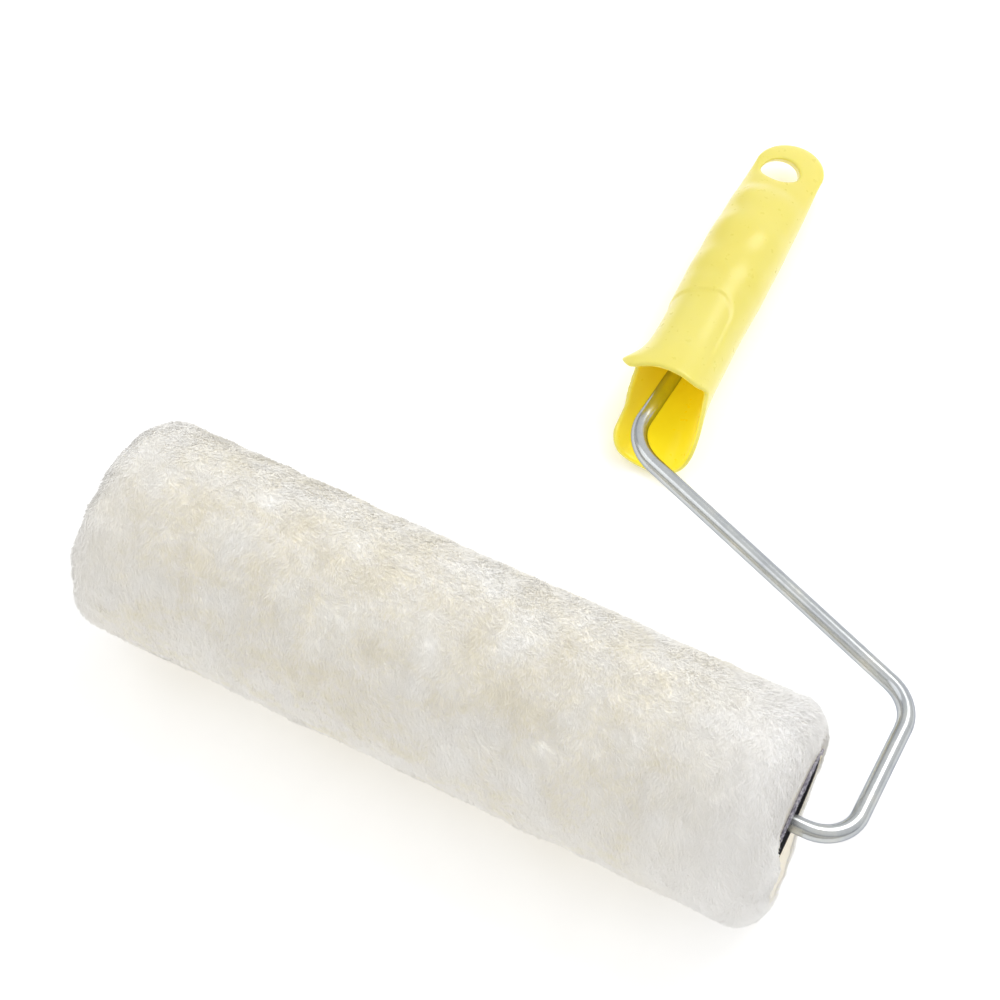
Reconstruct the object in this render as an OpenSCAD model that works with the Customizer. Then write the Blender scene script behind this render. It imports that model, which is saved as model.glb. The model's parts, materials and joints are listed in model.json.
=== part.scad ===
// Paint roller: a 250 mm deep-pile sleeve that spins on a bent wire frame
// with a one-piece moulded handle.  It lies on its pile and on the handle's
// tongue.  X runs along the roller's axis, Y from the roller to the handle.

/* [Roller sleeve] */
// Length of the sleeve
roller_length = 250; // [180:5:270]
// Diameter over the pile
roller_d = 76; // [72:1:80]
// How far the pile stands out past the core at each end
pile_overhang = 2.5; // [0.5:0.5:4]
// Radius of the pile's soft shoulders
shoulder_r = 9; // [4:1:11]
// Outer diameter of the core tube
core_d = 47; // [46:0.5:50]
// Bore of the core tube
core_bore_d = 44; // [43:0.5:44.5]
// Thickness of the woven backing under the pile
backing_t = 1; // [0.6:0.1:1.5]

/* [End caps] */
// Thickness of the cap's cup wall and web
cap_wall = 1.8; // [1.2:0.1:2.5]
// Depth from the core's rim to the cap's web
cap_recess = 12; // [8:1:20]
// Diameter of the hub that holds the bush
cap_hub_d = 16; // [14:1:20]
// Number of stiffening ribs on the inner side of the web
cap_ribs = 6; // [3:1:10]
// Outer diameter of the bearing bush
bush_d = 10; // [9:0.5:11]
// Length of the bearing bush
bush_length = 12; // [8:1:16]
// Radial clearance of the bush on the wire
bush_clearance = 0.05; // [0.02:0.01:0.1]

/* [Wire frame] */
// Diameter of the wire
wire_d = 6; // [6:1:6]
// Centreline radii of the bends, from the axle to the handle
bend_r = [13.5, 17, 20]; // [12:0.5:22]
// From the roller's middle to the arm beyond its end
arm_x = 140.5; // [138:0.5:150]
// How far the arm leans outwards over its rise
arm_lean = 1.5; // [0:0.5:4]
// From the roller's axis to the bend at the top of the arm
arm_y = 63.5; // [58:0.5:75]
// Sideways offset of the handle bend from the roller's middle
grip_x = 12; // [0:0.5:20]
// From the roller's axis to the handle bend
grip_y = 121.5; // [115:0.5:130]
// Slant of the wire inside the handle
grip_slant = 1.5; // [0:0.1:3]
// Depth of the wire in the handle, from the handle bend
grip_depth = 80; // [60:1:84]
// How far a bend stands proud of the straight wire, all round
bend_swell = 0.03; // [0.02:0.01:0.06]
// Width over the two pinched ears that stop the sleeve
ear_span = 9; // [8:0.5:10]

/* [Handle] */
// Half width of the grip
grip_half_w = 15.2; // [14:0.1:17]
// Thickness of the handle's wall
handle_wall = 2; // [1.6:0.1:2.6]
// Height of the side notches of the mouth above the roller's axis
mouth_y = 158; // [155:1:165]
// Centre of the rounded end above the roller's axis
eye_y = 276; // [270:0.5:278]
// Rise of the grip out of the wire's plane, per mm along it
grip_rise = 0.1; // [0.05:0.01:0.14]
// Drift of the grip back over the roller, per mm along it
grip_drift = 0.02; // [0:0.001:0.05]
// Thickness of the rounded end
eye_t = 9; // [7:0.5:11]
// Width of the hanging hole
hole_w = 15.5; // [12:0.5:18]
// Height of the hanging hole
hole_h = 12; // [9:0.5:12]

/* [Washers and clip] */
// Outer diameter of the two thrust washers
washer_d = 12; // [11:0.5:14]
// Thickness of the thrust washers
washer_t = 1; // [0.8:0.1:1.5]
// Outer diameter of the push-on clip
clip_d = 13; // [12:0.5:15]
// Number of teeth in the push-on clip
clip_teeth = 6; // [4:1:8]

/* [Resting pose] */
// Slope of the wire's plane as the roller lies on a table
tilt = 8.47; // [4:0.1:12]
// Middle of the outline, along the roller and across it
middle = [9.88, 125.9]; // [0:0.1:150]

/* [Hidden] */
$fn = 96;
SLIT = 0.02;                                    // thickness of a hull's section
roller_r = roller_d / 2;
core_r = core_d / 2;
backing_r = core_r + backing_t;
wire_r = wire_d / 2;
bore_r = core_bore_d / 2;
end_x = roller_length / 2 - pile_overhang;      // end of the core
web_x = end_x - cap_recess;                     // outer face of a cap's web
bush_flange_t = 1.2;
bush_end_x = web_x + bush_flange_t;             // outer face of a bush's flange
washer_bore_r = wire_r + 0.15;
clip_dish = 1.2;
clip_t = 0.6;
gap = 0.3;                                      // end float of the sleeve on its axle
ear_length = 4;
bend_lap = 0.5;                                 // how far a leg runs into a bend
axle_stub = 3;                                  // how far the axle stands out of the clip
ear_t = 1.6;
cap_depth = 4;                                  // from the cap's web to the back of its wall
bush_flange_w = 1.5;
tooth_t = 0.8;
clip_rim_w = 2;                                 // width of the clip's flat outer ring
axle_end_x = -(bush_end_x + gap + washer_t + clip_dish + axle_stub);

function unit(v) = v / norm(v);

// The wire's corner points, from the axle's far end to its end in the handle
wire_path = [
    [axle_end_x, 0],
    [arm_x, 0],
    [arm_x + arm_lean, arm_y],
    [grip_x, grip_y],
    [grip_x + grip_depth * sin(grip_slant), grip_y + grip_depth * cos(grip_slant)]
];

// Turn between the two legs that meet at corner i, and the length it takes from each
function leg(i) = unit(wire_path[i + 1] - wire_path[i]);
function turn(i) = acos(leg(i - 1) * leg(i));
function trim(i) = (i == 0 || i == len(wire_path) - 1) ? 0 : bend_r[i - 1] * tan(turn(i) / 2);

// Middle of the handle's section at height y: x and z
mouth_mid = [grip_x + 1.8, 2];                  // middle of the section at the mouth
tongue_lean = 0.15;                             // sideways, per mm below tongue_top
tongue_top = mouth_y - 6;
function handle_mid(y) = [
    mouth_mid[0] - grip_drift * (y - mouth_y) + tongue_lean * max(0, tongue_top - y),
    mouth_mid[1] + grip_rise * (y - mouth_y)
];

// Sections of the handle: height, half width, half depth
sections = [
    [124, grip_half_w + 2.2, 16.4],
    [136, grip_half_w + 1.8, 16.2],
    [146, grip_half_w + 1.4, 15.6],
    [153, grip_half_w + 1, 14.8],
    [162, grip_half_w + 0.3, 14],
    [185, grip_half_w, 13.6],
    [207, grip_half_w + 0.6, 13.8],
    [232, grip_half_w + 0.5, 13.2],
    [248, grip_half_w, 11],
    [262, grip_half_w - 0.2, 7],
    [eye_y, grip_half_w - 0.4, eye_t / 2]
];
hollow_top = 7;                                 // sections up to this one are hollow
tongue_end_y = 126.5;
tongue_half_w = 18;
tongue_corner = 10;                             // radius of the tongue's lower corners
lip = [146, 15];                                // front of the slanted lip: y and z
notch_z = -3;                                   // where the lip meets the tongue's sides
tongue_drop = 6;                                // how far the tongue's sides fall to its end
eye_bevel = 2;                                  // rounding of the eye's rim
hole_shift = -2;                                // sideways offset of the hanging hole
hole_below = 8;                                 // from the eye's centre down to the hole's flat side
hole_round = 1.15;                              // height of the hole's arch over half its width
rib_t = 2.4;                                    // thickness of the ribs that hold the wire
rib_offset = 1.2;                               // sideways offset of the ribs' crossing
rib_bottom = 172;
rib_top = grip_y + grip_depth + 3;
socket_wall = 2;
BEYOND = 40;                                    // reach of cutting bodies past the handle

// Lays the wire's plane down on the table, with the origin under the middle
module lying() {
    translate([-middle[0], -middle[1], roller_r])
        rotate([-tilt, 0, 0])
            children();
}

// A cylinder along X from x0 to x1
module rod_x(x0, x1, r) {
    translate([x0, 0, 0])
        rotate([0, 90, 0])
            cylinder(h = x1 - x0, r = r);
}

// A tube along X
module tube_x(x0, x1, r_out, r_in) {
    difference() {
        rod_x(x0, x1, r_out);
        rod_x(x0 - 1, x1 + 1, r_in);
    }
}

// ---- Wire frame ----

// Straight leg i, which runs a little way into the bends at its ends
module wire_leg(i) {
    dir = leg(i);
    lap_before = trim(i) > 0 ? bend_lap : 0;
    lap_after = trim(i + 1) > 0 ? bend_lap : 0;
    from = wire_path[i] + dir * (trim(i) - lap_before);
    length = norm(wire_path[i + 1] - wire_path[i]) - trim(i) - trim(i + 1) + lap_before + lap_after;
    translate([from[0], from[1], 0])
        rotate([0, 0, atan2(dir[1], dir[0])])
            rotate([0, 90, 0])
                cylinder(h = length, r = wire_r);
}

// Bend at corner i
module wire_bend(i) {
    before = leg(i - 1);
    after = leg(i);
    side = before[0] * after[1] - before[1] * after[0] > 0 ? 1 : -1;
    start = wire_path[i] - before * trim(i);
    centre = start + side * bend_r[i - 1] * [-before[1], before[0]];
    heading = atan2(before[1], before[0]) - side * 90;
    translate([centre[0], centre[1], 0])
        rotate([0, 0, side > 0 ? heading : heading - turn(i)])
            rotate_extrude(angle = turn(i))
                translate([bend_r[i - 1], 0])
                    circle(r = wire_r + bend_swell);
}

// The two ears pinched out of the axle, which the inner washer rests on
module wire_ears() {
    translate([bush_end_x + gap + washer_t + ear_length / 2, 0, 0])
        cube([ear_length, ear_span, ear_t], center = true);
}

module wire_frame() {
    color("lightsteelblue")
        lying()
            union() {
                for (i = [0 : len(wire_path) - 2]) wire_leg(i);
                for (i = [1 : len(wire_path) - 2]) wire_bend(i);
                wire_ears();
            }
}

// ---- Handle ----

// One thin section of the handle, shrunk all round by inset
module handle_section(i, inset) {
    s = sections[i];
    mid = handle_mid(s[0]);
    translate([mid[0], s[0], mid[1]])
        rotate([90, 0, 0])
            linear_extrude(height = SLIT, center = true)
                scale([s[1] - inset, s[2] - inset])
                    circle(r = 1, $fn = 40);
}

module handle_loft(first, last, inset) {
    for (i = [first : last - 1])
        hull() {
            handle_section(i, inset);
            handle_section(i + 1, inset);
        }
}

// Rounded, flattened end that carries the hanging hole
module handle_eye() {
    mid = handle_mid(eye_y);
    hull() {
        handle_section(len(sections) - 1, 0);
        translate([mid[0], eye_y, mid[1]])
            rotate([atan(grip_rise), 0, 0])
                for (level = [-1 : 1])
                    translate([0, 0, level * eye_t / 2])
                        cylinder(h = SLIT, r = grip_half_w - 0.4 - abs(level) * eye_bevel,
                                 center = true, $fn = 40);
    }
}

// D-shaped hanging hole, flat side towards the grip
module hanging_hole() {
    y0 = eye_y - hole_below;
    translate([handle_mid(y0)[0] + hole_shift, y0, 0])
        linear_extrude(height = 2 * BEYOND, center = true)
            intersection() {
                translate([0, hole_h - hole_round * hole_w / 2])
                    scale([1, hole_round])
                        circle(r = hole_w / 2, $fn = 40);
                translate([-hole_w, 0])
                    square([2 * hole_w, hole_h]);
            }
}

// All that is cut away in front of the tongue, below the slanted lip
module mouth_cut() {
    below = tongue_end_y - tongue_corner;
    translate([handle_mid(mouth_y)[0] - BEYOND, 0, 0])
        rotate([90, 0, 90])
            linear_extrude(height = 2 * BEYOND)
                polygon([
                    [mouth_y, notch_z],
                    lip,
                    [lip[0], BEYOND],
                    [below, BEYOND],
                    [below, notch_z - tongue_drop]
                ]);
}

// Rounds the tongue's two lower corners
module tongue_outline() {
    translate([handle_mid(tongue_end_y)[0], tongue_end_y, 0])
        linear_extrude(height = 2 * BEYOND, center = true)
            hull() {
                for (side = [-1, 1])
                    translate([side * (tongue_half_w - tongue_corner), tongue_corner])
                        circle(r = tongue_corner, $fn = 40);
                translate([-BEYOND, 2 * BEYOND])
                    square([2 * BEYOND, 3 * BEYOND]);
            }
}

// Crossed ribs inside the grip that hold the wire
module handle_ribs() {
    height = rib_top - rib_bottom;
    intersection() {
        handle_loft(4, hollow_top, handle_wall / 2);
        translate([grip_x + rib_offset, rib_bottom + height / 2, 0])
            union() {
                cube([BEYOND, height, rib_t], center = true);
                cube([rib_t, height, 2 * BEYOND], center = true);
                rotate([-90, 0, 0])
                    cylinder(h = height, r = wire_r + socket_wall, center = true, $fn = 40);
            }
    }
}

// Room for the wire through the ribs
module wire_socket() {
    translate([grip_x, grip_y, 0])
        rotate([0, 0, -grip_slant])
            rotate([-90, 0, 0])
                cylinder(h = grip_depth + 1, r = wire_r + 0.1, $fn = 64);
}

module handle_shell() {
    difference() {
        union() {
            handle_loft(0, len(sections) - 1, 0);
            handle_eye();
        }
        handle_loft(0, hollow_top, handle_wall);
        hanging_hole();
        mouth_cut();
    }
}

module handle() {
    color("gold")
        lying()
            difference() {
                union() {
                    intersection() {
                        handle_shell();
                        tongue_outline();
                    }
                    handle_ribs();
                }
                wire_socket();
            }
}

// ---- Washers and clip on the axle ----

module inner_thrust_washer() {
    color("silver")
        lying()
            tube_x(bush_end_x + gap, bush_end_x + gap + washer_t, washer_d / 2, washer_bore_r);
}

module outer_thrust_washer() {
    color("silver")
        lying()
            tube_x(-bush_end_x - gap - washer_t, -bush_end_x - gap, washer_d / 2, washer_bore_r);
}

// Dished spring-steel clip whose teeth grip the axle's end
module push_on_clip() {
    x0 = -bush_end_x - gap - washer_t;
    x1 = x0 - clip_dish;
    dish_r = clip_d / 2 - clip_rim_w;
    color("dimgray")
        lying()
            difference() {
                union() {
                    tube_x(x0 - clip_t, x0, clip_d / 2, dish_r - clip_t);
                    tube_x(x1 - clip_t, x1, dish_r, wire_r);
                    tube_x(x1 - clip_t, x0, dish_r, dish_r - clip_t);
                }
                for (k = [0 : clip_teeth - 1])
                    rotate([k * 360 / clip_teeth, 0, 0])
                        translate([x1 - 2 * clip_t, 0, -tooth_t / 2])
                            cube([2 * clip_t + SLIT, dish_r - 2 * clip_t, tooth_t]);
            }
}

// ---- Sleeve ----

module core_tube() {
    color("khaki")
        lying()
            tube_x(-end_x, end_x, core_r, bore_r);
}

module fabric_backing() {
    color("slategray")
        lying()
            tube_x(-end_x, end_x, backing_r, core_r);
}

// Pile with rounded shoulders, which stands out past the core at both ends
module wool_pile() {
    arc = [for (a = [0 : 15 : 90]) shoulder_r * [sin(a), cos(a)]];
    top = roller_r - shoulder_r;
    side = roller_length / 2 - shoulder_r;
    right = [for (p = arc) [top + p[1], side + p[0]]];
    left = [for (i = [len(arc) - 1 : -1 : 0]) [top + arc[i][1], -side - arc[i][0]]];
    outline = concat([[backing_r, -end_x]], left, right, [[backing_r, end_x]]);
    color("ivory")
        lying()
            rotate([0, 90, 0])
                rotate_extrude()
                    polygon(outline);
}

// Cup pressed into the core's end: wall, web, hub and ribs behind the web
module end_cap() {
    cup_back = web_x - cap_wall;
    hub_back = bush_end_x - bush_length;
    difference() {
        union() {
            tube_x(cup_back - cap_depth, end_x, bore_r, bore_r - cap_wall);
            rod_x(cup_back, web_x, bore_r - cap_wall / 2);
            rod_x(hub_back, web_x, cap_hub_d / 2);
            for (k = [0 : cap_ribs - 1])
                rotate([k * 360 / cap_ribs, 0, 0])
                    translate([cup_back - cap_depth, 0, -cap_wall / 2])
                        cube([cap_depth + cap_wall / 2, bore_r - cap_wall / 2, cap_wall]);
        }
        rod_x(hub_back - 1, web_x + 1, bush_d / 2);
    }
}

// Flanged bearing bush that runs on the wire
module bush() {
    difference() {
        union() {
            rod_x(bush_end_x - bush_length, web_x, bush_d / 2);
            rod_x(web_x, bush_end_x, bush_d / 2 + bush_flange_w);
        }
        rod_x(bush_end_x - bush_length - 1, bush_end_x + 1, wire_r + bush_clearance);
    }
}

module near_end_cap() {
    color("black")
        lying()
            end_cap();
}

module far_end_cap() {
    color("black")
        lying()
            rotate([0, 0, 180])
                end_cap();
}

module near_bush() {
    color("white")
        lying()
            bush();
}

module far_bush() {
    color("white")
        lying()
            rotate([0, 0, 180])
                bush();
}

handle();
wire_frame();
inner_thrust_washer();
outer_thrust_washer();
push_on_clip();
core_tube();
fabric_backing();
wool_pile();
near_end_cap();
far_end_cap();
near_bush();
far_bush();
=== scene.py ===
"""Looks of a paint roller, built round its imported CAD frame.

The handle and the pile are detailed meshes that stand for their CAD nodes, and the
backing gets frayed threads at its ends.  The wire, core, caps, bushes, washers and
clip are the CAD nodes with better materials.  Lengths in the named values are
millimetres in the wire's own plane: x along the roller's axis, y from that axis to
the handle and z out of the plane, with the origin at the middle of the sleeve.
Angles round the sleeve's axis start at the plane, on the handle's side.
"""

import json
import math

import bpy
import numpy as np
from mathutils import Matrix, Quaternion, Vector


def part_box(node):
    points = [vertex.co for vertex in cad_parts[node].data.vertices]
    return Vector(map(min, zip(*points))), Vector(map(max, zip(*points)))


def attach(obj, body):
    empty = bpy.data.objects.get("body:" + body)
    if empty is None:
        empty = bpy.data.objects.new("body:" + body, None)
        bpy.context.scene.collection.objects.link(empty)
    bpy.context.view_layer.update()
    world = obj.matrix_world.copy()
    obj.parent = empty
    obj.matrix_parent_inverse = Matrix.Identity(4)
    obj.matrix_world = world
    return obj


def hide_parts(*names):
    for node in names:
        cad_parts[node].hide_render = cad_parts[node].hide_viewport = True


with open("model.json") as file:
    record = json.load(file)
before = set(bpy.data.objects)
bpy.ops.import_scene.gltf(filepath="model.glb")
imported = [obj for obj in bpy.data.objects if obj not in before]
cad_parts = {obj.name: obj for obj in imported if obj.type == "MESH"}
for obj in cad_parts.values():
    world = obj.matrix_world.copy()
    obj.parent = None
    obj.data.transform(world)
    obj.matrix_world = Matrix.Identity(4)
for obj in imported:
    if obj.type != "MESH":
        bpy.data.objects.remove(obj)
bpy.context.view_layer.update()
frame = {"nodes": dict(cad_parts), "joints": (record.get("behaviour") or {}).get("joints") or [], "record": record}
MM = 0.001

# ---- Places and sizes read from the frame ----

SPIN = frame["joints"][0]
PLANE_NORMAL = Vector(frame["record"]["mounts"][0]["axis"])
TILT = math.atan2(PLANE_NORMAL.y, PLANE_NORMAL.z)
LIE = Matrix.Translation(SPIN["pos_m"]) @ Matrix.Rotation(-TILT, 4, "X") @ Matrix.Scale(MM, 4)


def extent(node, axis):
    """Size of a CAD node along one axis, in millimetres."""
    low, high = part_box(node)
    return (high[axis] - low[axis]) / MM


ROLLER_R = extent("wool_pile", 2) / 2
BACKING_R = extent("fabric_backing", 2) / 2
CORE_HALF = extent("core_tube", 0) / 2

# ---- Camera, lights and floor ----

VIEW_OFFSET = (-12.92, 65.32, 0.0)
VIEW_AZIMUTH, VIEW_ELEVATION, VIEW_ROLL = 24.04, 56.66, 3.2
VIEW_DISTANCE = 0.7414
LENS = 77.82
KEY_PLACE, KEY_SIZE, KEY_POWER, KEY_COLOUR = (0.35, 0.75, 1.2), 0.9, 6.0, (1, 0.995, 0.985)
FILL_PLACE, FILL_SIZE, FILL_POWER, FILL_COLOUR = (-1.0, -0.2, 1.0), 1.0, 2.5, (0.99, 0.995, 1)
ROOM_UP, ROOM_STRENGTH = (0.25, 0.45, 0.86), 0.95
FLOOR_SIZE = 6.0


def make_camera():
    """The photograph's view, aimed from the sleeve's middle by VIEW_OFFSET."""
    azimuth, elevation = math.radians(VIEW_AZIMUTH), math.radians(VIEW_ELEVATION)
    back = Vector((math.sin(azimuth) * math.cos(elevation),
                   -math.cos(azimuth) * math.cos(elevation),
                   math.sin(elevation)))
    data = bpy.data.cameras.new("camera")
    data.lens = LENS
    camera = bpy.data.objects.new("camera", data)
    bpy.context.scene.collection.objects.link(camera)
    camera.location = Vector(SPIN["pos_m"]) + Vector(VIEW_OFFSET) * MM + back * VIEW_DISTANCE
    roll = Quaternion((0, 0, 1), math.radians(VIEW_ROLL))
    camera.rotation_mode = "QUATERNION"
    camera.rotation_quaternion = (-back).to_track_quat("-Z", "Y") @ roll
    bpy.context.scene.camera = camera


def round_lamp(name, place, size, power, colour):
    """A soft round lamp at place, turned towards the frame's origin."""
    data = bpy.data.lights.new(name, "AREA")
    data.shape = "DISK"
    data.size = size
    data.energy = power
    data.color = colour
    lamp = bpy.data.objects.new(name, data)
    bpy.context.scene.collection.objects.link(lamp)
    lamp.location = place
    lamp.rotation_mode = "QUATERNION"
    lamp.rotation_quaternion = (-Vector(place)).to_track_quat("-Z", "Y")


def make_lights():
    round_lamp("key", KEY_PLACE, KEY_SIZE, KEY_POWER, KEY_COLOUR)
    round_lamp("fill", FILL_PLACE, FILL_SIZE, FILL_POWER, FILL_COLOUR)


def make_world():
    """A soft room: white overhead, warm grey lower down and darkest below, with a dark rim between
    that bright metal mirrors."""
    world = bpy.data.worlds.new("world")
    bpy.context.scene.world = world
    world.use_nodes = True
    nodes = Nodes(world.node_tree)
    direction = nodes.add("ShaderNodeTexCoord").outputs["Generated"]
    height = nodes.vector("DOT_PRODUCT", direction, Vector(ROOM_UP).normalized())
    warm, rim, grey = (0.74, 0.72, 0.68), (0.24, 0.26, 0.31), (0.84, 0.85, 0.86)
    room = nodes.ramp(height,
                      [(0.30, (0.42, 0.41, 0.40)), (0.50, warm), (0.62, warm), (0.66, rim), (0.72, grey),
                       (0.84, (0.95, 0.95, 0.95)), (1.0, (1.0, 1.0, 1.0))], low=-1, high=1)
    background = world.node_tree.nodes["Background"]
    nodes.link(room, background.inputs["Color"])
    background.inputs["Strength"].default_value = ROOM_STRENGTH


# ---- Node materials ----

INNER_FACE = "inner_face"                       # attribute: 1 deep inside the handle's mouth, where bounce light is painted
MOUTH_GLOW = 0.2                                # stands for light bounced about inside the mouth
PILE_GLOW = 0.22                                # stands for light scattered between the fibres
FLOOR_GLOW = 0.22                               # keeps the sheet white
SHADED_STRETCH_MIDDLE, SHADED_STRETCH_HALF, SHADED_STRETCH_FADE = -0.02, 0.09, 0.03  # the creamier middle stretch, in metres; past it the ends are painted paler, as lit
ROOT_SHADE_LOW, ROOT_SHADE_HIGH = 0.5, 4.0                  # painted shade, darker towards the roots: height over the backing


class Nodes:
    """Short calls for building a node tree."""

    def __init__(self, tree):
        self.tree = tree

    def link(self, source, target):
        self.tree.links.new(source, target)

    def add(self, kind, settings=None, **inputs):
        node = self.tree.nodes.new(kind)
        for key, value in (settings or {}).items():
            setattr(node, key, value)
        for key, value in inputs.items():
            socket = node.inputs[key.replace("_", " ")]
            if isinstance(value, bpy.types.NodeSocket):
                self.link(value, socket)
            else:
                socket.default_value = value
        return node

    def noise(self, vector, scale, detail=3.0, roughness=0.55):
        return self.add("ShaderNodeTexNoise", Vector=vector, Scale=scale, Detail=detail,
                        Roughness=roughness).outputs["Fac"]

    def ramp(self, value, stops, low=0.0, high=1.0):
        """Colour ramp from low to high; a stop's colour is a grey level or an RGB triple."""
        if (low, high) != (0.0, 1.0):
            scaled = self.add("ShaderNodeMapRange", Value=value, From_Min=low, From_Max=high)
            value = scaled.outputs["Result"]
        node = self.add("ShaderNodeValToRGB", Fac=value)
        elements = node.color_ramp.elements
        while len(elements) < len(stops):
            elements.new(0.5)
        for element, (position, colour) in zip(elements, stops):
            rgb = colour if isinstance(colour, tuple) else (colour,) * 3
            element.position = position
            element.color = (*rgb, 1)
        return node.outputs["Color"]

    def math(self, operation, a, b=0.0):
        node = self.add("ShaderNodeMath", {"operation": operation})
        for socket, value in zip(node.inputs, (a, b)):
            if isinstance(value, bpy.types.NodeSocket):
                self.link(value, socket)
            else:
                socket.default_value = value
        return node.outputs["Value"]

    def vector(self, operation, a, b=(0, 0, 0)):
        node = self.add("ShaderNodeVectorMath", {"operation": operation})
        self.link(a, node.inputs[0])
        node.inputs[1].default_value = b
        return node.outputs["Value" if operation in ("LENGTH", "DOT_PRODUCT") else "Vector"]

    def mix(self, factor, a, b):
        node = self.add("ShaderNodeMix", {"data_type": "RGBA"})
        for index, value in ((0, factor), (6, a), (7, b)):
            socket = node.inputs[index]
            if isinstance(value, bpy.types.NodeSocket):
                self.link(value, socket)
            else:
                socket.default_value = (*value, 1) if isinstance(value, tuple) else value
        return node.outputs[2]

    def bump(self, height, strength, distance):
        return self.add("ShaderNodeBump", Height=height, Strength=strength,
                        Distance=distance).outputs["Normal"]


def new_material(name, **sockets):
    """A Principled material with its constant sockets set; returns it, its nodes and its shader."""
    material = bpy.data.materials.new(name)
    material.use_nodes = True
    shader = material.node_tree.nodes["Principled BSDF"]
    for key, value in sockets.items():
        shader.inputs[key.replace("_", " ")].default_value = value
    nodes = Nodes(material.node_tree)
    place = nodes.add("ShaderNodeTexCoord").outputs["Object"]
    return material, nodes, shader, place


def plastic_material():
    """Glossy, slightly translucent lemon-yellow plastic, deeper in colour where light bounces
    about inside the mouth."""
    material, nodes, shader, place = new_material(
        "lemon_plastic", Subsurface_Weight=0.35, Subsurface_Scale=0.007, Coat_Weight=0.2,
        Coat_Roughness=0.15, Sheen_Weight=0.25, Sheen_Roughness=0.4, IOR=1.49, Specular_IOR_Level=0.5,
        Subsurface_Radius=(1.0, 0.85, 0.15), Emission_Color=(0.90, 0.62, 0.01, 1))
    broad = nodes.noise(place, 30, 2)
    patches = nodes.ramp(broad, [(0.35, 0.0), (0.65, 1.0)])
    colour = nodes.mix(patches, (0.80, 0.70, 0.13), (0.82, 0.73, 0.165))
    # painted bounce light: a deeper yellow and a glow deep inside the mouth
    inside = nodes.add("ShaderNodeAttribute", {"attribute_name": INNER_FACE}).outputs["Fac"]
    nodes.link(nodes.mix(inside, colour, (0.98, 0.80, 0.015)), shader.inputs["Base Color"])
    nodes.link(nodes.math("MULTIPLY", inside, MOUTH_GLOW), shader.inputs["Emission Strength"])
    fine = nodes.noise(place, 300, 3)
    nodes.link(nodes.ramp(fine, [(0.3, 0.27), (0.7, 0.31)]), shader.inputs["Roughness"])
    nodes.link(nodes.bump(broad, 0.03, 0.0005), shader.inputs["Normal"])
    return material


def zinc_material():
    """Bright zinc plate with a faint spangle and handling marks."""
    material, nodes, shader, place = new_material(
        "zinc_plate", Metallic=1.0, Specular_Tint=(0.42, 0.45, 0.54, 1))
    spangle = nodes.noise(place, 90, 3, 0.6)
    colour = nodes.ramp(spangle, [(0.3, (0.46, 0.48, 0.50)), (0.55, (0.54, 0.56, 0.56)),
                                  (0.75, (0.60, 0.60, 0.57))])
    nodes.link(colour, shader.inputs["Base Color"])
    scratch = nodes.noise(place, 500, 4, 0.6)
    nodes.link(nodes.ramp(scratch, [(0.3, 0.17), (0.75, 0.27)]), shader.inputs["Roughness"])
    nodes.link(nodes.bump(scratch, 0.04, 0.0002), shader.inputs["Normal"])
    return material


def steel_material(name, dark, light, roughness):
    """Stamped steel with a fine satin grain."""
    material, nodes, shader, place = new_material(name, Metallic=1.0)
    grain = nodes.noise(place, 700, 5, 0.7)
    nodes.link(nodes.ramp(grain, [(0.3, dark), (0.7, light)]), shader.inputs["Base Color"])
    nodes.link(nodes.ramp(grain, [(0.3, roughness), (0.7, roughness + 0.15)]), shader.inputs["Roughness"])
    nodes.link(nodes.bump(grain, 0.15, 0.0002), shader.inputs["Normal"])
    return material


def moulded_material(name, dark, light, roughness):
    """Matte moulded plastic with a fine spark-eroded grain."""
    material, nodes, shader, place = new_material(name, IOR=1.48)
    grain = nodes.noise(place, 900, 4, 0.6)
    broad = nodes.noise(place, 60, 2)
    nodes.link(nodes.mix(broad, dark, light), shader.inputs["Base Color"])
    nodes.link(nodes.ramp(grain, [(0.3, roughness), (0.7, roughness + 0.12)]), shader.inputs["Roughness"])
    nodes.link(nodes.bump(grain, 0.2, 0.0002), shader.inputs["Normal"])
    return material


def pile_material():
    """Off-white wool-like pile with cream blotches, painted lighter towards its ends where more light falls, and
    with painted shade at its roots."""
    material, nodes, shader, place = new_material(
        "wool_pile", Roughness=0.85, Sheen_Weight=0.3, Sheen_Roughness=0.5, Specular_IOR_Level=0.1,
        Subsurface_Weight=0.5, Subsurface_Scale=0.0007, Subsurface_Radius=(1.0, 0.95, 0.85),
        Emission_Color=(1.0, 0.95, 0.86, 1), Emission_Strength=PILE_GLOW)
    blotch = nodes.noise(place, 60, 5, 0.65)
    cream = nodes.ramp(blotch, [(0.34, (0.85, 0.79, 0.62)), (0.5, (0.93, 0.89, 0.78)),
                                (0.64, (0.97, 0.96, 0.91))])
    # painted light: the pile turns paler towards its ends, where more light falls
    along = nodes.add("ShaderNodeSeparateXYZ", Vector=place).outputs["X"]
    from_shaded_stretch = nodes.math("ABSOLUTE", nodes.math("SUBTRACT", along, SHADED_STRETCH_MIDDLE))
    lit_ends = nodes.ramp(from_shaded_stretch, [(0.0, 0.0), (1.0, 1.0)], low=SHADED_STRETCH_HALF, high=SHADED_STRETCH_HALF + SHADED_STRETCH_FADE)
    pale = nodes.mix(lit_ends, cream, (0.98, 0.98, 0.97))
    off_axis = nodes.vector("SUBTRACT", place, SPIN["pos_m"])
    radius = nodes.vector("LENGTH", nodes.vector("MULTIPLY", off_axis, (0, 1, 1)))
    # painted shade: the pile darkens towards the backing, among the roots
    root_shade = nodes.ramp(radius, [(0.0, 1.0), (1.0, 0.0)],
                        low=(BACKING_R + ROOT_SHADE_LOW) * MM, high=(BACKING_R + ROOT_SHADE_HIGH) * MM)
    nodes.link(nodes.mix(root_shade, pale, (0.83, 0.78, 0.67)), shader.inputs["Base Color"])
    return material


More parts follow.
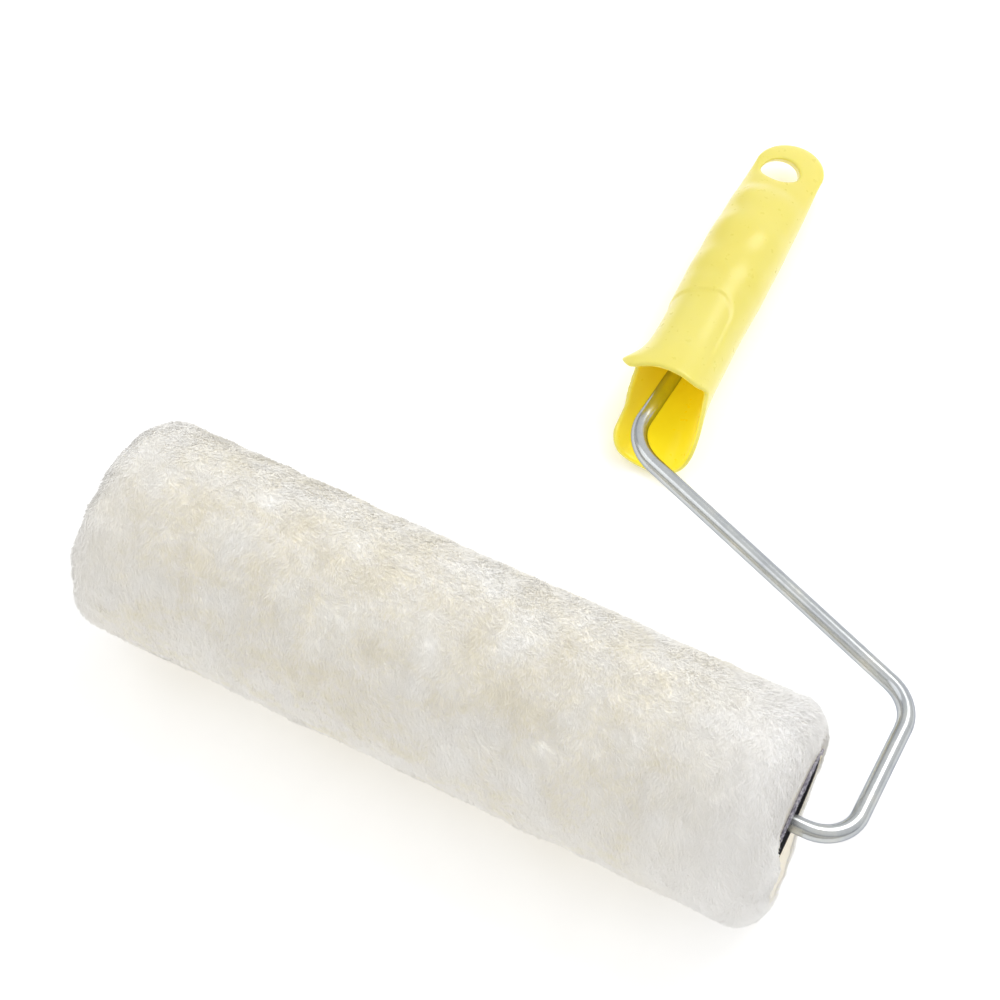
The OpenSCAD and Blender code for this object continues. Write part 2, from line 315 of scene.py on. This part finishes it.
def backing_material():
    """Grey woven backing with violet and pale threads."""
    material, nodes, shader, place = new_material("grey_backing", Roughness=0.9, Sheen_Weight=0.2)
    thread = nodes.noise(place, 900, 3, 0.6)
    colour = nodes.ramp(thread, [(0.3, (0.08, 0.07, 0.11)), (0.48, (0.33, 0.31, 0.39)),
                                 (0.66, (0.76, 0.74, 0.78))])
    nodes.link(colour, shader.inputs["Base Color"])
    nodes.link(nodes.bump(thread, 0.4, 0.0004), shader.inputs["Normal"])
    return material


def floor_material():
    """Pale paper sheet."""
    material, nodes, shader, place = new_material(
        "paper", Roughness=0.9, Specular_IOR_Level=0.1, Emission_Color=(1, 1, 1, 1),
        Emission_Strength=FLOOR_GLOW)
    grain = nodes.noise(place, 60, 3)
    nodes.link(nodes.ramp(grain, [(0.3, 0.93), (0.7, 0.96)]), shader.inputs["Base Color"])
    return material


def make_floor():
    """A large pale sheet on the ground."""
    size = FLOOR_SIZE
    corners = [(-size, -size, 0), (size, -size, 0), (size, size, 0), (-size, size, 0)]
    floor = make_piece("floor", corners, [(0, 1, 2, 3)], floor_material(), smooth=False)


# ---- Mesh helpers ----

SETTLING_ROUNDS = 6


def make_piece(name, points, faces, material, smooth=True):
    """A mesh object from points in metres and a list or array of faces of one size."""
    points = np.asarray(points, np.float32)
    faces = np.asarray(faces, np.int32)
    corners = faces.shape[1]
    mesh = bpy.data.meshes.new(name)
    mesh.vertices.add(len(points))
    mesh.vertices.foreach_set("co", points.ravel())
    mesh.loops.add(faces.size)
    mesh.loops.foreach_set("vertex_index", faces.ravel())
    mesh.polygons.add(len(faces))
    mesh.polygons.foreach_set("loop_start", np.arange(0, faces.size, corners, dtype=np.int32))
    mesh.polygons.foreach_set("use_smooth", np.full(len(faces), smooth))
    mesh.update(calc_edges=True)
    mesh.validate()
    mesh.materials.append(material)
    piece = bpy.data.objects.new(name, mesh)
    bpy.context.scene.collection.objects.link(piece)
    return piece


def laid(points):
    """Points of the wire's plane, in millimetres, moved into the frame."""
    matrix = np.array(LIE)
    return np.asarray(points) @ matrix[:3, :3].T + matrix[:3, 3]


def spline(at, knots, values):
    """Smooth Hermite curve through (knot, value) pairs."""
    knots, values = np.asarray(knots, float), np.asarray(values, float)
    slopes = np.gradient(values, knots)
    at = np.clip(at, knots[0], knots[-1])
    i = np.clip(np.searchsorted(knots, at) - 1, 0, len(knots) - 2)
    span = knots[i + 1] - knots[i]
    t = (at - knots[i]) / span
    return ((1 + 2 * t) * (1 - t) ** 2 * values[i] + t * (1 - t) ** 2 * span * slopes[i]
            + t * t * (3 - 2 * t) * values[i + 1] + t * t * (t - 1) * span * slopes[i + 1])


def smooth_max(a, b, width):
    """The larger of two fields, rounded over a width where they meet."""
    share = np.clip(0.5 + 0.5 * (a - b) / width, 0, 1)
    return b + (a - b) * share + width * share * (1 - share)


def smooth_min(a, b, width):
    """The smaller of two fields, rounded over a width where they meet."""
    return -smooth_max(-a, -b, width)


def fade(value, low, high):
    """0 below low, 1 above high, smooth between."""
    t = np.clip((value - low) / (high - low), 0, 1)
    return t * t * (3 - 2 * t)


def edge_crossings(value, axis):
    """Grid edges along an axis that a zero surface crosses: where they start, the points of
    crossing in grid steps, and whether each edge starts inside."""
    start = tuple(slice(0, -1) if k == axis else slice(None) for k in range(3))
    end = tuple(slice(1, None) if k == axis else slice(None) for k in range(3))
    at = np.argwhere((value[start] < 0) != (value[end] < 0))
    along = np.arange(3) == axis
    at = at[np.all((at > 0) | along, axis=1)]
    at = at[np.all((at < np.array(value.shape) - 1) | along, axis=1)]
    first, second = value[start][tuple(at.T)], value[end][tuple(at.T)]
    where = at.astype(float)
    where[:, axis] += first / (first - second)
    return at, where, first < 0


def cells_round(at, axis):
    """The four grid cells that share each edge, in order round it."""
    first, second = (k for k in range(3) if k != axis)
    ring = []
    for back in ((0, 0), (1, 0), (1, 1), (0, 1)):
        cell = at.copy()
        cell[:, first] -= back[0]
        cell[:, second] -= back[1]
        ring.append(cell)
    return ring


def surface_of(field, low, high, step):
    """Quads on a field's zero surface: one point in each cell it crosses, moved onto it."""
    low = np.asarray(low, float)
    counts = np.ceil((np.asarray(high) - low) / step).astype(int) + 1
    axes = [low[k] + step * np.arange(counts[k]) for k in range(3)]
    value = field(*np.meshgrid(*axes, indexing="ij"))
    cells = tuple(counts - 1)
    total, hits = np.zeros((*cells, 3)), np.zeros(cells)
    rings = []
    for axis in range(3):
        at, where, starts_inside = edge_crossings(value, axis)
        ring = cells_round(at, axis)
        for cell in ring:
            np.add.at(total, tuple(cell.T), where)
            np.add.at(hits, tuple(cell.T), 1)
        rings.append((ring, starts_inside != (axis == 1)))
    used = hits > 0
    index = np.full(cells, -1)
    index[used] = np.arange(used.sum())
    points = low + step * total[used] / hits[used][:, None]
    quads = []
    for ring, forward in rings:
        corner = np.stack([index[tuple(cell.T)] for cell in ring], axis=1)
        quads.append(np.where(forward[:, None], corner, corner[:, ::-1]))
    quads = np.concatenate(quads)
    for _ in range(SETTLING_ROUNDS):
        points = evened(points, quads)
        points = points - pull(field, points)
    return points, quads


def evened(points, quads):
    """Each point moved towards the middles of the faces round it."""
    middle = points[quads].mean(axis=1)
    total, hits = points.copy(), np.ones((len(points), 1))
    for corner in quads.T:
        np.add.at(total, corner, middle)
        np.add.at(hits, corner, 1)
    return total / hits


def pull(field, points, reach=0.4, probe=0.05):
    """Newton step, at most reach long, that takes each point to a field's zero surface."""
    here = field(*points.T)
    slope = np.stack([field(*(points + shift).T) - field(*(points - shift).T)
                      for shift in probe * np.eye(3)], axis=1) / (2 * probe)
    steep = np.maximum((slope ** 2).sum(1), 0.05)
    move = slope * (here / steep)[:, None]
    return move * np.minimum(1, reach / np.maximum(np.linalg.norm(move, axis=1), 1e-9))[:, None]


def lattice_noise(points, size, seed):
    """Smooth random field between -1 and 1 that changes over about size millimetres."""
    cells = 64
    table = np.random.default_rng(seed).uniform(-1, 1, (cells, cells, cells))
    grid = np.asarray(points) / size
    base = np.floor(grid).astype(int)
    t = grid - base
    t = t * t * (3 - 2 * t)
    result = 0
    for corner in np.ndindex(2, 2, 2):
        at = (base + corner) % cells
        weight = np.prod(np.where(corner, t, 1 - t), axis=-1)
        result = result + weight * table[at[..., 0], at[..., 1], at[..., 2]]
    return result


# ---- Handle ----

EYE_Y, EYE_R = 277.1, 14.1
WALL = 2.0
HOLLOW_TOP, HOLLOW_ROUND = 236.0, 4
MOUTH_Y = 158.0
TONGUE_END = 127.3
SKIRT_R = 15.5
EDGE_ROUND, MOUTH_ROUND, HOLE_ROUND = 1.1, 1.3, 1.8
SECTIONS = [                                    # y, half width, middle x, half depth
    (120, 17.9, 18.1, 16.4),
    (136, 17.2, 16.4, 16.2),
    (150, 16.1, 14.8, 15.4),
    (160, 15.5, 14.4, 14.3),
    (172, 15.4, 14.0, 13.9),
    (186, 15.3, 13.5, 13.6),
    (207, 15.7, 12.9, 13.8),
    (232, 15.5, 12.3, 13.2),
    (248, 15.0, 12.0, 10.8),
    (260, 14.6, 11.8, 7.0),
    (271.5, 14.1, 11.5, 3.6),
    (290, 14.1, 11.2, 3.0),
]
SECTION_Y, HALF_WIDTH, MIDDLE_X, HALF_DEPTH = zip(*SECTIONS)
SECTION_POWER = 2.1                             # 2 is an ellipse; more is squarer
SKIRT_FLARE, FLARE_ANGLE, FLARE_SPREAD, FLARE_Y = 5.2, 160, 30, 149
WAVE_PERIOD, WAVE_PEAK, WAVE_DEPTH = 21.5, 229.5, 0.5
WAVE_START, WAVE_END = (196, 206), (256, 266)
PANEL_DEPTH, PANEL_EDGE, PANEL_CORNER = 0.6, 2.4, 11
PANEL_RIGHT_ANGLE, PANEL_LEFT_ANGLE, PANEL_TOP = 41, 215, 193.5
PANEL_BOTTOM, PANEL_LEFT_FADE = (154, 172), 45
HOLE_X, HOLE_Y, HOLE_Z = -2.0, 270.5, 3.4       # the hole's middle, from the handle's middle line
HOLE_HALF_W, HOLE_HALF_H = 7.8, 8.7
HOLE_LEAN = (0.24, -0.66)                       # sideways and along the handle, per mm forward
HOLE_BOW_R, HOLE_BOW_X, HOLE_BOW_Y = 10.8, -1.0, 6.5
LIP_Y, LIP_DIP, LIP_DIP_ANGLE, LIP_DIP_SPREAD = 147.3, 2.2, 141, 18
LIP_RISE, LIP_RISE_ANGLE = 14, 60               # the lip climbs towards the right below this angle
NOTCH_RISE, NOTCH_RISE_ANGLES = 10, (143, 183)
NOTCH_DROP, NOTCH_DROP_ANGLES = 12, (186, 216)
TONGUE_LEFT_ANGLE, TONGUE_RIGHT_ANGLE, TONGUE_CORNER = -60, 90, 7.5
TONGUE_LEAN, TONGUE_LEAN_COS, TONGUE_LEAN_Y = 0.43, 0.92, 136
MESH_STEP = 0.62
MESH_LOW, MESH_HIGH = (-14, 118, -20), (42, 296, 26)
DEEP_START, DEEP_X, DEEP_TOP = (0.9, 1.9), (2, 13), (240, 255)  # where the painted bounce light inside the mouth sets in


def handle_middle_z(y):
    """The handle's middle line leans forward, away from the wire's plane."""
    return 2 + 0.1 * (y - MOUTH_Y)


def handle_frame(x, y, z):
    """Offsets from the handle's middle line and the angle round it, from -90 (behind) by 0 (right)
    and 90 (front) to 180 (left) and 270 degrees."""
    across = x - spline(y, SECTION_Y, MIDDLE_X)
    out = z - handle_middle_z(y)
    angle = np.degrees(np.arctan2(out, across))
    return across, out, np.where(angle < -90, angle + 360, angle)


def bell(value, middle, width):
    """1 at the middle, falling smoothly to nothing on both sides."""
    return np.exp(-((value - middle) / width) ** 2)


def finger_waves(y, angle):
    """Shallow bumps under the fingers, most on the front left and less on the front right."""
    stretch = fade(y, *WAVE_START) * (1 - fade(y, *WAVE_END))
    side = 0.9 * bell(angle, 132, 28) + 0.6 * bell(angle, 60, 26) + 0.1
    return WAVE_DEPTH * stretch * side * np.cos(2 * np.pi * (y - WAVE_PEAK) / WAVE_PERIOD)


def thumb_panel(y, angle):
    """A slightly sunk panel on the front left, with round corners."""
    arc_mm = math.radians(1) * SKIRT_R
    past_corner = angle * arc_mm - PANEL_RIGHT_ANGLE * arc_mm - PANEL_CORNER
    beyond_right = np.maximum(-past_corner, 0)
    top = PANEL_TOP - 0.2 * np.maximum(past_corner, 0) - PANEL_CORNER
    inside = PANEL_CORNER - np.hypot(beyond_right, np.maximum(y - top, 0))
    left_end = fade(PANEL_LEFT_ANGLE - angle, 0, PANEL_LEFT_FADE)
    return -PANEL_DEPTH * fade(inside, 0, PANEL_EDGE) * left_end * fade(y, *PANEL_BOTTOM)


def skirt_flare(y, angle):
    """The mouth's rim turned outwards at its left."""
    past = y - FLARE_Y
    height = np.where(past > 0, (np.maximum(past, 0) / 8) ** 1.3, (past / 10) ** 2)
    return SKIRT_FLARE * bell(angle, FLARE_ANGLE, FLARE_SPREAD) * np.exp(-height)


def handle_outside(x, y, z):
    """Signed distance, nearly, to the handle's outer face without its hole or mouth."""
    across, out, angle = handle_frame(x, y, z)
    width = spline(y, SECTION_Y, HALF_WIDTH)
    depth = spline(y, SECTION_Y, HALF_DEPTH)
    past = np.maximum(y - EYE_Y, 0)
    plan = np.where(past > 0, np.hypot(across, past) / EYE_R, np.abs(across) / width)
    share = (plan ** SECTION_POWER + np.abs(out / depth) ** SECTION_POWER) ** (1 / SECTION_POWER)
    reach = np.sqrt(across ** 2 + past ** 2 + out ** 2)
    swell = finger_waves(y, angle) + thumb_panel(y, angle) + skirt_flare(y, angle)
    return reach * (1 - 1 / np.maximum(share, 1e-6)) - swell


def hanging_hole_field(x, y, z):
    """Signed distance to the D-shaped hole, which leans towards the front as it comes forward."""
    across, out, _ = handle_frame(x, y, z)
    beside = across - HOLE_X - HOLE_LEAN[0] * (out - HOLE_Z)
    up = y - HOLE_Y - HOLE_LEAN[1] * (out - HOLE_Z)
    arch = np.hypot(beside, up * HOLE_HALF_W / HOLE_HALF_H) - HOLE_HALF_W
    bowed_side = np.hypot(beside - HOLE_BOW_X, up - HOLE_BOW_Y) - HOLE_BOW_R
    return smooth_max(arch, bowed_side, 1.2)


def mouth_field(x, y, z):
    """Negative where the slanted lip and the tongue behind the wire leave plastic."""
    across, out, angle = handle_frame(x, y, z)
    front = LIP_Y - LIP_DIP * bell(angle, LIP_DIP_ANGLE, LIP_DIP_SPREAD)
    notch = NOTCH_RISE * fade(angle, *NOTCH_RISE_ANGLES) - NOTCH_DROP * fade(angle, *NOTCH_DROP_ANGLES)
    lip = front + LIP_RISE * (np.maximum(LIP_RISE_ANGLE - angle, 0) / LIP_RISE_ANGLE) ** 2 + notch - y
    arc = np.arctan2(across, -out) * SKIRT_R
    left_edge = math.radians(TONGUE_LEFT_ANGLE) * SKIRT_R
    right_edge = math.radians(TONGUE_RIGHT_ANGLE) * SKIRT_R + TONGUE_LEAN * (y - TONGUE_LEAN_Y)
    beyond_side = np.maximum(left_edge - arc, TONGUE_LEAN_COS * (arc - right_edge))
    beyond_end = TONGUE_END - y
    past_side, past_end = beyond_side + TONGUE_CORNER, beyond_end + TONGUE_CORNER
    rounded = np.hypot(np.maximum(past_side, 0), np.maximum(past_end, 0)) - TONGUE_CORNER
    tongue = np.where((past_side > 0) & (past_end > 0), rounded, np.maximum(beyond_side, beyond_end))
    return smooth_min(lip, tongue, 3.0)


def handle_field(x, y, z):
    """Signed distance, nearly, to the whole handle: a hollow shell with its mouth and hole cut."""
    outside = handle_outside(x, y, z)
    hollow = smooth_max(outside + WALL, y - HOLLOW_TOP, HOLLOW_ROUND)
    shell = smooth_max(outside, -hollow, EDGE_ROUND)
    shell = smooth_max(shell, mouth_field(x, y, z), MOUTH_ROUND)
    return smooth_max(shell, -hanging_hole_field(x, y, z), HOLE_ROUND)


def make_handle(material):
    """The handle's shell, with an attribute that marks the inside of its mouth."""
    points, quads = surface_of(handle_field, MESH_LOW, MESH_HIGH, MESH_STEP)
    handle = make_piece("moulded_handle", laid(points), quads, material)
    depth = -handle_outside(*points.T)
    inner = handle.data.attributes.new(INNER_FACE, "FLOAT", "POINT")
    x, y, _ = points.T
    # painted bounce light is strongest deep in the mouth and towards its right
    deep = (0.45 + 0.55 * fade(x, *DEEP_X)) * (1 - fade(y, *DEEP_TOP))
    inner.data.foreach_set("value", fade(depth, *DEEP_START) * deep)
    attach(handle, "frame")
    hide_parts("handle")


# ---- Sleeve ----

PILE_R = ROLLER_R - 1.3                         # the dense body under the tufts
SHOULDER = 10.0                                 # rounding of the body's two ends
END_SETBACK = 0.35 * (ROLLER_R - PILE_R)
RIM_LIFT = 0.6                                  # from the backing to the body's inner rim
COMB = (0.6, 0.8)                               # the tufts' direction: along and round the sleeve
TUFT_STEP, TUFT_LENGTH, TUFT_ROOT = 0.55, 3.6, 1.2
TUFT_LEAN, KNEE_SHARE = 48, 0.45                # lean at the knee: half of it below, 1.5 times above
TUFT_WIDTH = (0.16, 0.27)
TUFT_RELIEF = 0.28                              # how far shading normals spread round a tuft
TUFT_FACES = np.array([(0, 1, 2), (0, 2, 3), (0, 3, 1), (2, 1, 4), (3, 2, 4), (1, 3, 4)])
BANDS = 8
FAR_OVERHANG, NEAR_OVERHANG = 1.0, -1.6
FULL_OVERHANG, FULL_START, FULL_END = 4.9, (128, 162), (245, 322)
TOP_OVERHANG, TOP_ANGLE = 1.8, 320
FRAY_COUNT, FRAY_WIDTH = 2600, (0.10, 0.20)
FRAY_ANGLE, FRAY_SPREAD = 108, 40


def overhang(angle, side):
    """How far the pile's body stands past the core's end: fullest at the low side of the mouth
    that the wire leaves, some at its far side and drawn back at the worn near side."""
    wobble = 0.25 * np.sin(5 * angle + 1) + 0.15 * np.sin(11 * angle + 2)
    turn = np.degrees(angle) % 360
    full = fade(turn, *FULL_START) * (1 - fade(turn, *FULL_END))
    top = bell(np.cos(angle - math.radians(TOP_ANGLE)), 1, 0.7)
    near_end = FULL_OVERHANG * full + TOP_OVERHANG * top + NEAR_OVERHANG
    return wobble + np.where(side > 0, near_end, FAR_OVERHANG)


def pile_profile(along, angle):
    """The pile's skin at a share along its outline, from the backing's edge at the far end (0)
    over the outside to the near end (1): x, radius, and the outward direction in x and radius."""
    side = np.where(along < 0.5, -1.0, 1.0)
    inner = BACKING_R + RIM_LIFT
    end = CORE_HALF + overhang(angle, side) - END_SETBACK
    flat = PILE_R - SHOULDER - inner
    quarter = SHOULDER * math.pi / 2
    straight = end - SHOULDER
    length = flat + quarter + straight
    s = length * (1 - np.abs(2 * along - 1))
    turn = np.clip((s - flat) / SHOULDER, 0, math.pi / 2)
    out = np.where(s < flat, inner + s, PILE_R - SHOULDER + SHOULDER * np.sin(turn))
    past = np.maximum(s - flat - quarter, 0)
    x = np.where(s < flat, end, end - SHOULDER + SHOULDER * np.cos(turn) - past)
    normal = np.stack([side * np.cos(turn), np.sin(turn)], axis=-1)
    return side * x, out, normal


def around(x, radius, angle):
    """Points of the wire's plane from cylinder coordinates round the roller's axis."""
    return np.stack([x, radius * np.cos(angle), radius * np.sin(angle)], axis=-1)


def pile_lumps(points):
    """Soft lumps of the pile's skin, in millimetres."""
    return (0.35 * lattice_noise(points, 7, 11) + 0.25 * lattice_noise(points, 2.6, 12)
            + 0.12 * lattice_noise(points, 1.1, 13))


def ring_quads(rows, columns):
    """Quads of a grid whose rows and columns both go round."""
    row, column = np.meshgrid(np.arange(rows), np.arange(columns), indexing="ij")
    row, column = row.ravel(), column.ravel()
    below, beside = (row + 1) % rows, (column + 1) % columns
    return np.stack([row * columns + column, row * columns + beside,
                     below * columns + beside, below * columns + column], axis=1)


def make_pile_base(material):
    """The pile's dense body under its tufts: a closed ring round the backing."""
    rows, columns = 300, 300
    turns = np.arange(columns) * 2 * np.pi / columns
    along, angle = np.meshgrid(np.linspace(0, 1, rows), turns, indexing="ij")
    x, radius, normal = pile_profile(along, angle)
    lumps = pile_lumps(around(x, radius, angle))
    points = around(x + lumps * normal[..., 0], radius + lumps * normal[..., 1], angle)
    under_x, under_angle = np.meshgrid(np.linspace(1, -1, 8) * (CORE_HALF - 0.5), turns, indexing="ij")
    under = around(under_x, np.full(under_x.shape, BACKING_R + 0.05), under_angle)
    points = np.concatenate([points, under]).reshape(-1, 3)
    quads = ring_quads(rows + len(under), columns)
    base = make_piece("pile_base", laid(points), quads, material)
    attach(base, "roller")
    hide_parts("wool_pile")


def tuft_roots(rng):
    """Even, jittered places on the pile's skin: share along its outline and angle."""
    outline = 2 * (CORE_HALF + SHOULDER)
    rows = int(outline / TUFT_STEP)
    places = []
    for row in range(rows):
        share = (row + 0.5) / rows
        radius = float(pile_profile(np.array(share), np.array(0.0))[1])
        count = int(2 * math.pi * radius / TUFT_STEP)
        angle = (np.arange(count) + rng.uniform(0, 1, count)) * 2 * math.pi / count
        along = share + rng.uniform(-0.5, 0.5, count) / rows
        places.append(np.stack([along, angle], axis=1))
    return np.concatenate(places)


def three_round(first, second):
    """Three directions evenly round the plane of two perpendicular ones."""
    return [math.cos(turn) * first + math.sin(turn) * second
            for turn in (math.radians(degrees) for degrees in (0, 120, 240))]


def tuft_shapes(places, rng):
    """Corner points (tuft, 5, 3) of bent, tapered tufts: root, three round the knee and tip, with
    shading normals near the skin's own."""
    along, angle = places.T
    x, radius, normal = pile_profile(along, angle)
    root = around(x, radius, angle)
    lumps = pile_lumps(root)[:, None]
    count = len(places)
    radial = around(np.zeros(count), np.ones(count), angle)
    circling = around(np.zeros(count), np.ones(count), angle + math.pi / 2)
    axial = np.tile([1.0, 0, 0], (count, 1))
    outward = normal[:, :1] * axial + normal[:, 1:] * radial
    root = root + outward * (lumps - TUFT_ROOT)
    swirl = (0.5 * lattice_noise(root, 14, 21) + 0.8 * lattice_noise(root, 4.5, 22)
             + 0.5 * rng.uniform(-1, 1, count))
    comb_angle = math.atan2(COMB[1], COMB[0]) + swirl
    downhill = np.cos(comb_angle)[:, None] * axial + np.sin(comb_angle)[:, None] * circling
    downhill -= (downhill * outward).sum(1, keepdims=True) * outward
    lean = np.radians(TUFT_LEAN + 10 * lattice_noise(root, 5.5, 23) + rng.uniform(-8, 8, count))[:, None]
    length = (TUFT_LENGTH + 0.4 * lattice_noise(root, 9, 24) + rng.uniform(-0.4, 0.4, count))[:, None]
    knee = root + KNEE_SHARE * length * (np.cos(0.5 * lean) * outward + np.sin(0.5 * lean) * downhill)
    curl = 0.35 * rng.uniform(-1, 1, (count, 1)) * np.cross(outward, downhill)
    tip = knee + (1 - KNEE_SHARE) * length * (
        np.cos(1.5 * lean) * outward + np.sin(1.5 * lean) * downhill + curl)
    width = rng.uniform(*TUFT_WIDTH, (count, 1))
    sideways = np.cross(outward, downhill)
    sideways /= np.linalg.norm(sideways, axis=1, keepdims=True)
    forward = np.cross(sideways, outward)
    under = np.cos(lean) * forward - np.sin(lean) * outward
    around_knee = three_round(sideways, under)
    shapes = np.stack([root, *(knee + width * direction for direction in around_knee), tip], axis=1)
    shading = [outward + TUFT_RELIEF * direction for direction in around_knee]
    normals = np.stack([outward, *shading, outward + TUFT_RELIEF * forward], axis=1)
    return shapes, normals


def make_tufts(material):
    """Bands of separate tufts along the sleeve, all combed one way with swirls."""
    rng = np.random.default_rng(7)
    places = tuft_roots(rng)
    upright = np.array(LIE.to_3x3()) / MM
    for band in range(BANDS):
        chosen = places[(places[:, 0] * BANDS).astype(int).clip(0, BANDS - 1) == band]
        shapes, normals = tuft_shapes(chosen, rng)
        faces = (np.arange(len(shapes))[:, None, None] * 5 + TUFT_FACES).reshape(-1, 3)
        tufts = make_piece(f"pile_tufts_{band + 1}", laid(shapes.reshape(-1, 3)), faces, material)
        normals = normals.reshape(-1, 3) @ upright.T
        normals /= np.linalg.norm(normals, axis=1, keepdims=True)
        tufts.data.normals_split_custom_set_from_vertices(normals)
        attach(tufts, "roller")


def make_fray(material):
    """Frayed ends of the backing at the sleeve's two mouths: grey threads among the pile's rim."""
    rng = np.random.default_rng(9)
    side = np.where(np.arange(FRAY_COUNT) % 4 == 0, -1.0, 1.0)
    worn = np.radians(rng.normal(FRAY_ANGLE, FRAY_SPREAD, FRAY_COUNT))
    angle = np.where(side > 0, worn, rng.uniform(0, 2 * math.pi, FRAY_COUNT))
    fullness = np.where(side > 0, bell(np.degrees(angle), FRAY_ANGLE, 60), 0.2)
    radius = BACKING_R + rng.uniform(-0.8, 0.6, FRAY_COUNT)
    root = around(side * (CORE_HALF - 0.5), radius, angle)
    radial = around(np.zeros(FRAY_COUNT), np.ones(FRAY_COUNT), angle)
    circling = side[:, None] * around(np.zeros(FRAY_COUNT), np.ones(FRAY_COUNT), angle + math.pi / 2)
    axial = side[:, None] * np.array([[1.0, 0, 0]])
    spread = rng.uniform(-0.6, 0.6, (FRAY_COUNT, 1))
    length = ((0.6 + 0.9 * fullness) * rng.uniform(0.5, 1.1, FRAY_COUNT))[:, None]
    knee = root + 0.5 * length * (axial + 0.4 * spread * circling)
    tip = knee + 0.5 * length * (0.8 * axial - 0.6 * radial + spread * circling)
    width = rng.uniform(*FRAY_WIDTH, (FRAY_COUNT, 1))
    around_knee = three_round(circling, radial)
    shapes = np.stack([root, *(knee + width * direction for direction in around_knee), tip], axis=1)
    faces = (np.arange(FRAY_COUNT)[:, None, None] * 5 + TUFT_FACES).reshape(-1, 3)
    fray = make_piece("backing_fray", laid(shapes.reshape(-1, 3)), faces, material)
    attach(fray, "roller")


# ---- Scene ----

def dress(node, material):
    """Gives a CAD node a material in place of its own."""
    slots = frame["nodes"][node].data.materials
    slots.clear()
    slots.append(material)


def dress_cad_nodes():
    """Better materials for the CAD nodes that stay."""
    washer = steel_material("washer_steel", (0.42, 0.43, 0.45), (0.62, 0.63, 0.64), 0.3)
    cap = moulded_material("cap_plastic", (0.004, 0.004, 0.007), (0.010, 0.009, 0.014), 0.6)
    bush = moulded_material("bush_plastic", (0.72, 0.71, 0.68), (0.80, 0.79, 0.76), 0.4)
    dress("inner_thrust_washer", washer)
    dress("outer_thrust_washer", washer)
    dress("push_on_clip", steel_material("spring_steel", (0.07, 0.07, 0.08), (0.16, 0.16, 0.18), 0.35))
    dress("core_tube", moulded_material("core_board", (0.80, 0.70, 0.40), (0.86, 0.78, 0.52), 0.5))
    dress("near_end_cap", cap)
    dress("far_end_cap", cap)
    dress("near_bush", bush)
    dress("far_bush", bush)
    dress("fabric_backing", backing_material())
    dress("wire_frame", zinc_material())


bpy.context.scene.view_settings.view_transform = "Standard"
make_camera()
make_world()
make_lights()
make_floor()
dress_cad_nodes()
make_handle(plastic_material())
pile = pile_material()
make_pile_base(pile)
make_tufts(pile)
make_fray(backing_material())
